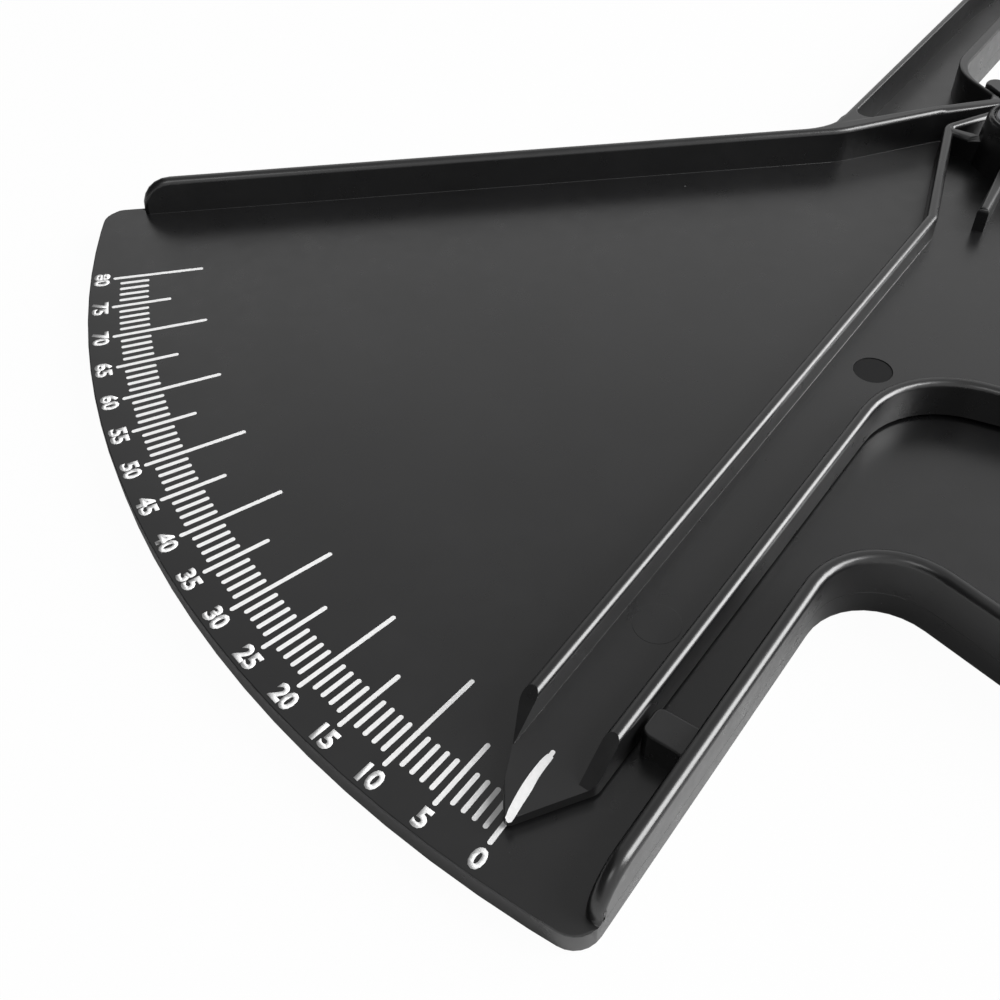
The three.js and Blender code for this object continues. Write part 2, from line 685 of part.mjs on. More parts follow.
const caliper = new THREE.Group();
caliper.add(
  piece('frame', frameSolid(), blackPlastic),
  piece('lever', leverSolid(), blackPlastic),
  piece('torsion_spring', solidOf(tube(wirePath, spring.wire / 2, spring.sides)), springSteel),
  piece('pivot_screw', screwSolid(), blackSteel),
  piece('pivot_washer', headWasherSolid(), springSteel),
  piece('thrust_washer', thrustWasherSolid(), whiteNylon),
);

export default caliper;
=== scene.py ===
"""Looks of a pistol-grip skinfold caliper: two black mouldings, printed scale and pivot hardware."""

import math

import bmesh
import bpy
from bpy.props import FloatProperty, FloatVectorProperty, IntProperty, PointerProperty
from mathutils import Matrix, Vector


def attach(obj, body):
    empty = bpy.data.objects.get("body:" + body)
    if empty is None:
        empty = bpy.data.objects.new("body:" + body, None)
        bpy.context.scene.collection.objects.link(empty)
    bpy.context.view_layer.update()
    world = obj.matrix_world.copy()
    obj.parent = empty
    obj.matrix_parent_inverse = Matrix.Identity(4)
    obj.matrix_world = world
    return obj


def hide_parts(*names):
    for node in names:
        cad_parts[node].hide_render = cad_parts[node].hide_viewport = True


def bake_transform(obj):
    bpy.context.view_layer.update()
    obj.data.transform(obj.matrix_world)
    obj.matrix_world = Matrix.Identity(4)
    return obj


bl_info = {
    "name": "Skinfold Caliper",
    "version": (1, 0, 0),
    "blender": (4, 5, 0),
    "location": "3D View > Sidebar > Caliper",
    "description": "Dresses the packed caliper in moulded plastic, ink and pivot hardware",
    "category": "Object",
}

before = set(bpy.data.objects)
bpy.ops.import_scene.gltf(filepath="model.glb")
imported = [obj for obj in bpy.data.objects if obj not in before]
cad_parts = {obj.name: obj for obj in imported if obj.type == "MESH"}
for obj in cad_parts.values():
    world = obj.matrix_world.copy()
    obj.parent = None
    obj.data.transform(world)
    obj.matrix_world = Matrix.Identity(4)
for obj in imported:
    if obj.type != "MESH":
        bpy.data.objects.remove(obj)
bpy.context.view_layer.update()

MM = 0.001
WELD = 0.001 * MM                  # corners closer than this are one
TINY = 0.02 * MM                   # slack in comparing heights
FLAT_ANGLE = math.radians(0.6)     # faces that meet at less are one flat face
SHARP_ANGLE = math.radians(50)     # an edge that turns by more is a corner of the moulding
FOLDED_ANGLE = math.radians(130)   # an edge that turns by more is a thin fold, and stays
SMOOTH_ANGLE = math.radians(32)    # shading runs on across edges that turn by less
CUT_ANGLE = math.radians(70)       # the cut ends of the wire turn by more
RAMP_LEAN, RAMP_LIFT = 0.70, 0.85  # how far up a ramp's face looks, least and most
STRIP_CORNERS = 8                  # a rounding's strips have fewer corners than a ramp
RIB_REACH = 2.2 * MM               # a cut across a rib reaches this far from its middle
INK_SUNK = 0.3                     # share of the ink's thickness that lies in the plastic
BRUSHED = 1.6                      # the brushed line is this much thicker than printed ink
NUMERAL_WEIGHT = 0.044             # how far a numeral's outline is drawn outwards
WIRE_SIDES = 14                    # faces round the wire
BEND_STEPS = 6                     # steps in a bend of the wire
COIL_STEP = math.radians(12)       # turn of one step of the coil
BEND_SHARE = 1.04                  # the first bend takes up a little more turn than its radius says
LAMPS_AIM = Vector((-0.03, -0.04, 0.0))
CEILING_FROM, CEILING_TO = 0.58, 0.80  # how far up one looks where the ceiling starts, and is reached
DARK_FROM, DARK_TO = -0.32, -0.50      # how far to the left, where the room turns dark


def length(name, millimetres, description, low=0.0):
    return FloatProperty(
        name=name, default=millimetres * MM, min=low * MM, unit="LENGTH", precision=5, description=description
    )


def angle(name, degrees, description):
    return FloatProperty(
        name=name, default=math.radians(degrees), subtype="ANGLE", unit="ROTATION", description=description
    )


def amount(name, value, description, low=0.0, high=1000.0):
    return FloatProperty(name=name, default=value, min=low, max=high, description=description)


def position(name, metres, description):
    return FloatVectorProperty(
        name=name, default=metres, size=3, subtype="TRANSLATION", unit="LENGTH", description=description
    )


def colour(name, rgb, description):
    return FloatVectorProperty(
        name=name, default=rgb, size=3, min=0.0, max=1.0, subtype="COLOR", description=description
    )


class MouldingSizes(bpy.types.PropertyGroup):
    plate_top: length("Plate top", 3.2, "Height of the printed plate above the underside")
    wall_top: length("Wall top", 8.0, "Height of every wall and rim above the underside")
    lever_floor: length("Lever floor", 4.8, "Height of the floor between the lever's rims")
    wall_rounding: length("Wall rounding", 0.74, "Radius along the tops of the frame's walls")
    rim_rounding: length("Rim rounding", 0.65, "Radius along the tops of the lever's rims")
    jaw_rounding: length("Jaw rounding", 0.33, "Radius along the tops of the jaws' thin walls")
    jaw_start: length("Jaw start", 10.0, "From the pivot out, where both walls of a jaw are thin")
    end_zone: length("End zone", 106.0, "From the pivot out, where the fan's walls and the arm's rims end")
    rim_zone: length("Rim zone", 122.3, "From the pivot out, where the fan's plate has its free edge")
    nose_zone: length("Nose zone", 113.4, "From the pivot out, where the pointer's nose has no rims")
    skirt_start: length("Skirt start", -7.0, "From the pivot out, where a jaw's outer wall thins", low=-50.0)
    skirt_side: length("Skirt side", 17.0, "From the line between the jaws, beyond which lie their outer walls")
    plate_rounding: length("Plate rounding", 0.22, "Radius along the top edge of the plate")
    underside_rounding: length("Underside rounding", 0.6, "Radius along the frame's bottom edges")
    lever_rounding: length("Lever rounding", 0.18, "Radius along the lever's lower edges")
    block_rounding: length("Block rounding", 0.25, "Radius along the stop block's edges")
    block_along: length("Block along", 105.4, "The stop block's middle, along the pointer's heading at zero")
    block_left: length("Block left", 8.3, "The stop block's middle, to the left of that heading")
    block_zone: length("Block zone", 4.0, "Distance from that middle inside which an edge belongs to the block")
    block_drop: length("Block drop", 1.4, "How far the block's top lies below the walls' tops, at the least")
    root_fillet: length("Root fillet", 0.07, "Radius where a rim stands on the lever's floor")
    plate_fillet: length("Plate fillet", 0.06, "Radius where a wall stands on the plate")
    pivot_zone: length("Pivot zone", 9.4, "Distance from the pivot inside which edges stay as moulded")
    fillet_zone: length("Fillet zone", 7.6, "Distance from the pivot inside which walls have no fillet")
    long_rib_heading: angle("Long rib heading", -120.5, "Where the boss's long rib points")
    long_rib_foot: length("Long rib foot", 6.4, "From the pivot out, where the long rib's rounded top starts")
    short_rib_heading: angle("Short rib heading", 136.6, "Where the boss's short rib points")
    short_rib_place: angle("Short rib place", 164.4, "Where the short rib's rounded top starts, from the pivot")
    short_rib_foot: length("Short rib foot", 6.28, "From the pivot out, where the short rib's rounded top starts")
    pin_zone: length("Pin zone", 3.0, "Distance from a pin mark's middle inside which an edge is the mark's")
    pin_rounding: length("Pin rounding", 0.07, "Radius along the sunk mark's edge")
    boss_zone: length("Boss zone", 5.9, "Distance from the pivot inside which the lever's edges are its boss's")
    jaw_heading: angle("Jaw heading", 54.0, "Where the closed jaws meet, seen from above")
    pointer_heading: angle("Pointer heading", -126.0, "Where the pointer's arm stands at zero")


class ScaleSizes(bpy.types.PropertyGroup):
    zero_heading: angle("Zero heading", -126.0, "Where the zero mark stands, seen from above")
    jaw_reach: length("Jaw reach", 107.0, "From the pivot to the jaws' faces, which sets the marks' spacing")
    last: IntProperty(
        name="Last mark", default=80, min=1, description="Highest reading on the scale, in millimetres"
    )
    mark_width: length("Mark width", 0.47, "Width of one printed mark")
    outer_short: length("Outer end", 120.0, "Outer end of the one-millimetre marks")
    outer_long: length("Outer end, numbered", 120.9, "Outer end of the marks at fives and tens")
    inner_one: length("Inner end, ones", 116.4, "Inner end of the one-millimetre marks")
    inner_five: length("Inner end, fives", 113.7, "Inner end of the marks at fives")
    inner_ten: length("Inner end, tens", 109.7, "Inner end of the marks at tens")
    ink_rise: length("Ink thickness", 0.03, "How far the ink stands above the plate")
    number_radius: length("Number radius", 122.3, "From the pivot to the middle of the numbers")
    number_height: length("Number height", 2.0, "Height of a printed number")


class MarkSizes(bpy.types.PropertyGroup):
    ring_radius: length("Ring radius", 2.27, "Radius of the flush round mark near the pointer")
    ring_rise: length("Ring rise", 0.03, "How far the flush mark stands above the floor")
    disc_radius: length("Disc radius", 2.12, "Radius of the sunk round mark above the bay")
    disc_sink: length("Disc sink", 0.08, "How far the sunk mark lies below the floor")
    thickness: length("Mark thickness", 0.14, "Thickness of the round marks' own skin")


class PivotSizes(bpy.types.PropertyGroup):
    screw_rounding: length("Screw rounding", 0.09, "Radius along the edges of the screw's head")
    screw_rim: length("Screw rim", 3.5, "From the axis, outside which the head's rim lies")
    washer_rounding: length("Washer rounding", 0.09, "Radius along the washers' edges")
    wire: length("Wire", 0.8, "The spring wire's diameter")
    coil_radius: length("Coil radius", 3.3, "From the pivot's axis to the middle of the wire")
    pitch: length("Pitch", 1.25, "Rise of one turn")
    turns: amount("Turns", 2.25, "Turns of wire about the post", low=0.5)
    coil_start: length("Coil start", 2.0, "Middle of the first turn above the plate")
    tang: length("Tang", 1.5, "Depth of the wire's lower end in the plate")
    wire_bend: length("Wire bend", 0.6, "Radius of the bends at the ends of the coil")
    leg_heading: angle("Leg heading", 20.0, "Where the upper end leaves through the boss")
    leg_end: length("Leg end", 5.1, "How far out from the axis the upper end reaches")


class PlasticLook(bpy.types.PropertyGroup):
    base: colour("Plastic", (0.0042, 0.0042, 0.0045), "Black moulded plastic")
    bloom: colour("Bloom", (0.0070, 0.0070, 0.0074), "Slightly paler patches in the plastic")
    dust: colour("Dust", (0.36, 0.36, 0.36), "Specks of dust lying on the plastic")
    seam_level: length("Seam level", 3.15, "Height of the line where the mould's halves met")
    seam_width: length("Seam width", 0.07, "Half the width of that line")
    roughness: amount("Roughness", 0.29, "Satin of the mouldings", high=1.0)
    ink: colour("Ink", (0.86, 0.86, 0.86), "White printing ink")
    steel: colour("Steel", (0.50, 0.50, 0.51), "Spring and washers")
    screw: colour("Screw", (0.19, 0.19, 0.195), "Dark plated screw")
    nylon: colour("Nylon", (0.72, 0.71, 0.66), "White running washer")


class StageLook(bpy.types.PropertyGroup):
    paper: colour("Paper", (0.68, 0.68, 0.68), "Pale sweep that the caliper lies on")
    floor_half: length("Floor", 3000.0, "Half the side of that sweep")
    key_power: amount("Key power", 12.8, "Soft lamp on the right, in watts")
    key_place: position("Key place", (0.782, -0.04, 0.387), "Where the soft lamp on the right hangs")
    key_width: length("Key width", 730.0, "Width of the soft lamp on the right")
    key_height: length("Key height", 530.0, "Height of the soft lamp on the right")
    upper_power: amount("Upper power", 3.5, "Soft lamp above it, in watts")
    upper_place: position("Upper place", (0.543, -0.183, 0.679), "Where the upper soft lamp hangs")
    upper_width: length("Upper width", 440.0, "Width of the upper soft lamp")
    upper_height: length("Upper height", 240.0, "Height of the upper soft lamp")
    front_power: amount("Front power", 1.0, "Soft lamp in front, in watts")
    front_place: position("Front place", (-0.30, -0.62, 0.80), "Where the soft lamp in front hangs")
    front_size: length("Front size", 330.0, "Side of the soft lamp in front")
    room: amount("Room", 0.27, "Light that the pale room casts")
    mirrored_room: amount("Mirrored room", 0.76, "The room's light, where it is mirrored")
    dark_side: amount("Dark side", 0.08, "The same light, from the room's dark left side")
    ceiling: amount("Ceiling", 0.56, "Share of the walls' light that the ceiling has", high=1.0)
    glow_share: amount("Glow share", 0.97, "Share of the paper's white that no shadow dims", high=1.0)
    mirrored_share: amount("Mirrored share", 0.02, "The same share, where the paper is mirrored", high=1.0)
    lens: amount("Lens", 40.25, "Camera's focal length, in millimetres", low=1.0)
    tilt: angle("Tilt", 43.32, "Camera's turn about its own X axis from looking straight down")
    roll: angle("Roll", 1.185, "Camera's turn about Y")
    place: position("Camera place", (-0.06845, -0.13846, 0.08581), "Where the photograph was taken from")


# Places

def polar(radius, heading, height=0.0):
    return Vector((radius * math.cos(heading), radius * math.sin(heading), height))


def seat(heading, along, left, height=0.0):
    """A place given along a heading from the pivot, and to the left of it."""
    return polar(along, heading, height) + polar(left, heading + math.pi / 2)


def mark_heading(reading):
    """The heading of a scale mark: the jaws open along a chord of the circle of their reach."""
    scale = bpy.context.scene.caliper_scale
    return scale.zero_heading - 2 * math.asin(reading * MM / (2 * scale.jaw_reach))


# The brushed line: along the pointer's heading, to the left of it, and its width, in millimetres
BRUSH_STROKE = (
    (119.15, 0.62, 0.20), (118.95, 0.55, 0.62), (118.2, 0.42, 0.78), (117.3, 0.29, 0.84), (116.5, 0.20, 0.90),
    (115.8, 0.13, 0.92), (115.1, 0.05, 0.86), (114.5, -0.01, 0.80), (113.8, -0.02, 0.76), (113.2, -0.02, 0.73),
    (112.6, 0.02, 0.66), (112.35, 0.05, 0.58), (112.3, 0.03, 0.40), (111.9, 0.03, 0.40), (111.78, 0.03, 0.22),
)


# The round marks of the mould's pins: along the pointer's heading and to the left of it, in millimetres
PIN_MARKS = ((95.7, 0.3), (51.8, 2.0))


# Materials

def ranged(tree, value, low, high, to_low, to_high):
    """A value's place between two limits, carried over between two others and held there."""
    node = tree.nodes.new("ShaderNodeMapRange")
    for key, number in (("From Min", low), ("From Max", high), ("To Min", to_low), ("To Max", to_high)):
        node.inputs[key].default_value = number
    tree.links.new(value, node.inputs["Value"])
    return node.outputs["Result"]


def reckoned(tree, kind, *values):
    """The outcome of a math node, whose values are numbers or other nodes' outputs."""
    node = tree.nodes.new("ShaderNodeMath")
    node.operation = kind
    for socket, value in zip(node.inputs, values):
        if isinstance(value, (int, float)):
            socket.default_value = value
        else:
            tree.links.new(value, socket)
    return node.outputs["Value"]


def kinds_of_ray(tree):
    """One for what the camera sees, also through something clear, and one for what is mirrored."""
    path = tree.nodes.new("ShaderNodeLightPath")
    seen = reckoned(tree, "MAXIMUM", path.outputs["Is Camera Ray"], path.outputs["Is Transmission Ray"])
    return seen, path.outputs["Is Glossy Ray"]


class Shade:
    """A small helper that adds nodes to one material and joins them."""

    def __init__(self, name):
        self.material = bpy.data.materials.new(name)
        self.material.use_nodes = True
        self.tree = self.material.node_tree
        self.tree.nodes.clear()
        self.output = self.tree.nodes.new("ShaderNodeOutputMaterial")
        self.shader = self.tree.nodes.new("ShaderNodeBsdfPrincipled")
        self.tree.links.new(self.shader.outputs["BSDF"], self.output.inputs["Surface"])
        self.where = self.tree.nodes.new("ShaderNodeTexCoord").outputs["Object"]

    def add(self, kind, **settings):
        node = self.tree.nodes.new(kind)
        for key, value in settings.items():
            setattr(node, key, value)
        return node

    def join(self, source, target):
        self.tree.links.new(source, target)

    def noise(self, size, detail=2.0, roughness=0.5):
        node = self.add("ShaderNodeTexNoise", noise_dimensions="3D")
        node.inputs["Scale"].default_value = 1 / size
        node.inputs["Detail"].default_value = detail
        node.inputs["Roughness"].default_value = roughness
        self.join(self.where, node.inputs["Vector"])
        return node.outputs["Fac"]

    def ramp(self, value, low, high, to_low, to_high):
        return ranged(self.tree, value, low, high, to_low, to_high)

    def math(self, kind, *values):
        return reckoned(self.tree, kind, *values)

    def mix(self, factor, first, second):
        node = self.add("ShaderNodeMix", data_type="RGBA")
        self.join(factor, node.inputs["Factor"])
        for socket, value in ((node.inputs[6], first), (node.inputs[7], second)):
            if hasattr(value, "is_output"):
                self.join(value, socket)
            else:
                socket.default_value = (*value, 1.0)
        return node.outputs[2]

    def bump(self, height, strength, distance):
        """Raises the surface by a height, on top of any bump that is already there."""
        node = self.add("ShaderNodeBump")
        node.inputs["Strength"].default_value = strength
        node.inputs["Distance"].default_value = distance
        self.join(height, node.inputs["Height"])
        normal = self.shader.inputs["Normal"]
        if normal.is_linked:
            self.join(normal.links[0].from_socket, node.inputs["Normal"])
        self.join(node.outputs["Normal"], normal)

    def seam(self, level, half_width):
        """One along a thin level line round the piece, and nothing beside it."""
        split = self.add("ShaderNodeSeparateXYZ")
        self.join(self.where, split.inputs["Vector"])
        away = self.math("ABSOLUTE", self.math("SUBTRACT", split.outputs["Z"], level))
        return self.ramp(away, 0.0, half_width, 1.0, 0.0)

    def specks(self, cell, radius, share):
        """Round specks, at most one in each cell, in a share of the cells."""
        node = self.add("ShaderNodeTexVoronoi", feature="F1")
        node.inputs["Scale"].default_value = 1 / cell
        self.join(self.where, node.inputs["Vector"])
        near = self.ramp(node.outputs["Distance"], radius / cell, 1.6 * radius / cell, 1.0, 0.0)
        split = self.add("ShaderNodeSeparateColor")
        self.join(node.outputs["Color"], split.inputs["Color"])
        return self.math("MULTIPLY", near, self.math("LESS_THAN", split.outputs["Red"], share))


def moulded_plastic(name, more_rough=0.0, specular=0.8):
    look = bpy.context.scene.caliper_plastic
    shade = Shade(name)
    shade.shader.inputs["Specular IOR Level"].default_value = specular
    patches = shade.noise(14 * MM, 4.0, 0.55)
    body = shade.mix(shade.ramp(patches, 0.35, 0.7, 0.0, 1.0), look.base, look.bloom)
    dusty = shade.specks(5 * MM, 0.08 * MM, 0.25)
    shade.join(shade.mix(dusty, body, look.dust), shade.shader.inputs["Base Color"])
    satin = shade.noise(2.2 * MM, 3.0)
    base = look.roughness + more_rough
    rough = shade.ramp(satin, 0.3, 0.7, base - 0.02, base + 0.03)
    shade.join(rough, shade.shader.inputs["Roughness"])
    grain = shade.noise(0.22 * MM, 2.0)
    waves = shade.noise(5 * MM, 1.0)
    height = shade.math("ADD", grain, shade.math("MULTIPLY", waves, 6.0))
    shade.bump(height, 0.04, 0.006 * MM)
    shade.bump(shade.seam(look.seam_level, look.seam_width), 0.7, 0.05 * MM)
    return shade.material


def printed_ink(name):
    look = bpy.context.scene.caliper_plastic
    shade = Shade(name)
    cover = shade.noise(0.35 * MM, 3.0)
    thin = tuple(0.96 * value for value in look.ink)
    colour_out = shade.mix(shade.ramp(cover, 0.40, 0.62, 0.0, 1.0), thin, look.ink)
    shade.join(colour_out, shade.shader.inputs["Base Color"])
    shade.join(shade.ramp(cover, 0.3, 0.7, 0.42, 0.58), shade.shader.inputs["Roughness"])
    shade.bump(cover, 0.05, 0.005 * MM)
    return shade.material


def metal(name, rgb, roughness, metallic):
    """Turned or drawn metal, with fine tool lines round the pivot's axis."""
    shade = Shade(name)
    shade.shader.inputs["Metallic"].default_value = metallic
    cloud = shade.noise(1.1 * MM, 4.0)
    dark = tuple(0.72 * value for value in rgb)
    body = shade.mix(shade.ramp(cloud, 0.35, 0.65, 0.0, 1.0), dark, rgb)
    shade.join(body, shade.shader.inputs["Base Color"])
    lines = shade.add("ShaderNodeTexWave", wave_type="RINGS", rings_direction="Z")
    lines.inputs["Scale"].default_value = 1 / (0.6 * MM)
    lines.inputs["Distortion"].default_value = 0.6
    shade.join(shade.where, lines.inputs["Vector"])
    rough = shade.ramp(cloud, 0.3, 0.7, roughness - 0.05, roughness + 0.08)
    shade.join(rough, shade.shader.inputs["Roughness"])
    shade.bump(lines.outputs["Fac"], 0.15, 0.004 * MM)
    return shade.material


def washer_nylon(name):
    look = bpy.context.scene.caliper_plastic
    shade = Shade(name)
    cloud = shade.noise(0.9 * MM, 3.0)
    dull = tuple(0.86 * value for value in look.nylon)
    body = shade.mix(shade.ramp(cloud, 0.3, 0.7, 0.0, 1.0), dull, look.nylon)
    shade.join(body, shade.shader.inputs["Base Color"])
    shade.join(shade.ramp(cloud, 0.3, 0.7, 0.40, 0.55), shade.shader.inputs["Roughness"])
    shade.bump(cloud, 0.15, 0.01 * MM)
    return shade.material


def finish_of(name, maker, *values):
    """One material of each name, made the first time that a piece asks for it."""
    return bpy.data.materials.get(name) or maker(name, *values)


# Meshes

def merged_copy(node, *cuts):
    """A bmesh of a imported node, with its loose triangles merged and its flat faces joined.

    Each cut is a place, a direction and a reach. It leaves edges across the walls that stand
    along its plane, for a rounding to end on.
    """
    bm = bmesh.new()
    bm.from_mesh(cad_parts[node].data)
    bmesh.ops.remove_doubles(bm, verts=bm.verts, dist=WELD)
    kept = set()
    for place, way, reach in cuts:
        made = bmesh.ops.bisect_plane(
            bm, geom=[*bm.verts, *bm.edges, *bm.faces], dist=TINY / 10, plane_co=place, plane_no=way
        )["geom_cut"]
        for item in made:
            if isinstance(item, bmesh.types.BMEdge) and (middle(item) - place).length < reach:
                if all(abs(face.normal.dot(way)) < 0.5 for face in item.link_faces):
                    kept.add(item)
    corners = {vert for edge in kept for vert in edge.verts}
    bmesh.ops.dissolve_limit(
        bm, angle_limit=FLAT_ANGLE, verts=[vert for vert in bm.verts if vert not in corners],
        edges=[edge for edge in bm.edges if edge not in kept],
    )
    return bm


def level_cut(height):
    return Vector((0, 0, height)), Vector((0, 0, 1)), math.inf


def rib_cut(place, heading):
    return place, polar(1.0, heading), RIB_REACH


def lies_at(edge, height):
    return abs(highest(edge) - height) < TINY / 4 and abs(lowest(edge) - height) < TINY / 4


def meets(edge, convex=True, at_least=SHARP_ANGLE):
    """Whether an edge joins two faces at a sharp angle, on the outside or in a corner."""
    if not edge.is_manifold:
        return False
    turn = edge.calc_face_angle_signed() * (1 if convex else -1)
    return at_least < turn < FOLDED_ANGLE


def lowest(edge):
    return min(vert.co.z for vert in edge.verts)


def highest(edge):
    return max(vert.co.z for vert in edge.verts)


def middle(edge):
    return (edge.verts[0].co + edge.verts[1].co) / 2


def in_jaw(edge, size):
    """Whether an edge lies out along the jaws, where the walls are thinner."""
    along = middle(edge).dot(polar(1.0, size.jaw_heading))
    aside = abs(middle(edge).dot(polar(1.0, size.jaw_heading + math.pi / 2)))
    return along > size.jaw_start or (along > size.skirt_start and aside > size.skirt_side)


def out_from_pivot(edge):
    return min(vert.co.xy.length for vert in edge.verts)


def is_end(edge, floor, size):
    """Whether an edge runs down the sloped or rounded end of a wall, out along the fan's rim."""
    return (meets(edge) and out_from_pivot(edge) > size.end_zone
            and floor - TINY < lowest(edge) < size.wall_top - TINY and highest(edge) > floor + TINY)


def is_root(edge, floor, size):
    """Whether a wall stands on its floor along an edge, between the hub and the walls' ends."""
    return (meets(edge, convex=False) and lies_at(edge, floor)
            and size.fillet_zone < out_from_pivot(edge) < size.end_zone)


def round_off(bm, chosen, radius, segments):
    """Rounds the edges that a test chooses."""
    edges = [edge for edge in bm.edges if chosen(edge)]
    if not edges:
        raise RuntimeError("no edges to round")
    bmesh.ops.bevel(
        bm, geom=edges, offset=radius, offset_type="OFFSET", segments=segments, profile=0.5,
        affect="EDGES", material=-1, clamp_overlap=False, miter_outer="SHARP", miter_inner="SHARP",
    )
    bm.normal_update()


def add_piece(name, bm, material, body):
    mesh = bpy.data.meshes.new(name)
    bm.to_mesh(mesh)
    bm.free()
    mesh.materials.append(material)
    piece = bpy.data.objects.new(name, mesh)
    bpy.context.scene.collection.objects.link(piece)
    if body:
        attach(piece, body)
    return piece


def shade_smooth(piece):
    """Shades a piece's roundings smoothly, with its flat faces kept flat."""
    piece.data.shade_smooth()
    piece.data.set_sharp_from_angle(angle=SMOOTH_ANGLE)
    weighted = piece.modifiers.new("flat_faces", "WEIGHTED_NORMAL")
    weighted.keep_sharp = True
    weighted.weight = 80


def keep_ramps_flat(piece):
    """Marks the borders of the rims' sloping ends as sharp, so that these shade as flat faces."""
    mesh = piece.data
    borders = set()
    for face in mesh.polygons:
        if RAMP_LEAN < face.normal.z < RAMP_LIFT and len(face.vertices) > STRIP_CORNERS:
            borders.update(face.edge_keys)
    for edge in mesh.edges:
        if edge.key in borders:
            edge.use_edge_sharp = True


def pulled(bm, ring, way):
    """Draws a closed ring of edges on along a straight line, and returns the new ring."""
    made = bmesh.ops.extrude_edge_only(bm, edges=ring)["geom"]
    bmesh.ops.translate(bm, verts=[item for item in made if isinstance(item, bmesh.types.BMVert)], vec=way)
    return [item for item in made if isinstance(item, bmesh.types.BMEdge) and len(item.link_faces) == 1]


def swept(bm, ring, centre, axis, turn, steps, rise=Vector()):
    """Turns a closed ring of edges about an axis, and returns the last ring."""
    made = bmesh.ops.spin(
        bm, geom=ring + list({vert for edge in ring for vert in edge.verts}), cent=centre, axis=axis, dvec=rise,
        angle=turn, steps=steps, use_merge=False, use_normal_flip=False, use_duplicate=False,
    )["geom_last"]
    return [item for item in made if isinstance(item, bmesh.types.BMEdge)]


class PieceOperator:
    bl_options = {"REGISTER", "UNDO"}


class CALIPER_OT_frame_moulding(PieceOperator, bpy.types.Operator):
    """The frame: printed fan, walls, fixed jaw and grip, with every edge rounded as moulded"""

    bl_idname = "caliper.frame_moulding"
    bl_label = "Frame moulding"

    def execute(self, context):
        size = context.scene.caliper_moulding
        bm = merged_copy("frame", level_cut(size.plate_top))
        wall_foot = size.plate_top + TINY
        block = seat(size.pointer_heading, size.block_along, size.block_left).xy

        def of_block(edge):
            near = (middle(edge).xy - block).length < size.block_zone
            return near and lowest(edge) < size.wall_top - size.block_drop

        def is_lip(edge):
            high = lowest(edge) > size.wall_top - TINY
            return high and meets(edge) and out_from_pivot(edge) > size.pivot_zone

        def is_wall_top(edge):
            return (is_lip(edge) and not in_jaw(edge, size)) or is_end(edge, size.plate_top, size)

        round_off(bm, lambda edge: meets(edge) and highest(edge) < TINY, size.underside_rounding, 4)
        round_off(bm, lambda edge: is_lip(edge) and in_jaw(edge, size), size.jaw_rounding, 4)
        round_off(bm, lambda edge: is_wall_top(edge) and not of_block(edge), size.wall_rounding, 6)
        round_off(bm, lambda edge: meets(edge) and of_block(edge) and highest(edge) > wall_foot,
                  size.block_rounding, 3)
        round_off(bm, lambda edge: meets(edge) and out_from_pivot(edge) > size.rim_zone
                  and lies_at(edge, size.plate_top), size.plate_rounding, 3)
        round_off(bm, lambda edge: is_root(edge, size.plate_top, size) and not of_block(edge),
                  size.plate_fillet, 2)
        finish = finish_of("black_moulding", moulded_plastic)
        piece = add_piece("frame_moulding", bm, finish, "frame")
        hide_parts("frame")
        shade_smooth(piece)
        return {"FINISHED"}


class CALIPER_OT_lever_moulding(PieceOperator, bpy.types.Operator):
    """The lever: pointer arm, hub and boss, trigger and moving jaw"""

    bl_idname = "caliper.lever_moulding"
    bl_label = "Lever moulding"

    def execute(self, context):
        size = context.scene.caliper_moulding
        bm = merged_copy(
            "lever", level_cut(size.lever_floor),
            rib_cut(polar(size.long_rib_foot, size.long_rib_heading, size.wall_top), size.long_rib_heading),
            rib_cut(polar(size.short_rib_foot, size.short_rib_place, size.wall_top), size.short_rib_heading),
        )

        def is_lip(edge):
            high = lowest(edge) > size.wall_top - TINY
            return high and meets(edge) and out_from_pivot(edge) > size.boss_zone

        pins = [seat(size.pointer_heading, along * MM, left * MM).xy for along, left in PIN_MARKS]

        def of_pin_mark(edge):
            return any((middle(edge).xy - pin).length < size.pin_zone for pin in pins)

        round_off(bm, lambda edge: is_lip(edge) and in_jaw(edge, size), size.jaw_rounding, 4)
        round_off(bm, lambda edge: is_lip(edge) and not in_jaw(edge, size), size.rim_rounding, 6)
        round_off(bm, lambda edge: meets(edge) and out_from_pivot(edge) > size.nose_zone
                  and lies_at(edge, size.lever_floor), size.lever_rounding, 2)
        round_off(bm, lambda edge: is_root(edge, size.lever_floor, size), size.root_fillet, 2)
        round_off(bm, lambda edge: meets(edge) and lies_at(edge, size.lever_floor) and of_pin_mark(edge),
                  size.pin_rounding, 2)
        finish = finish_of("black_moulding", moulded_plastic)
        piece = add_piece("lever_moulding", bm, finish, "lever")
        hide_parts("lever")
        shade_smooth(piece)
        keep_ramps_flat(piece)
        return {"FINISHED"}


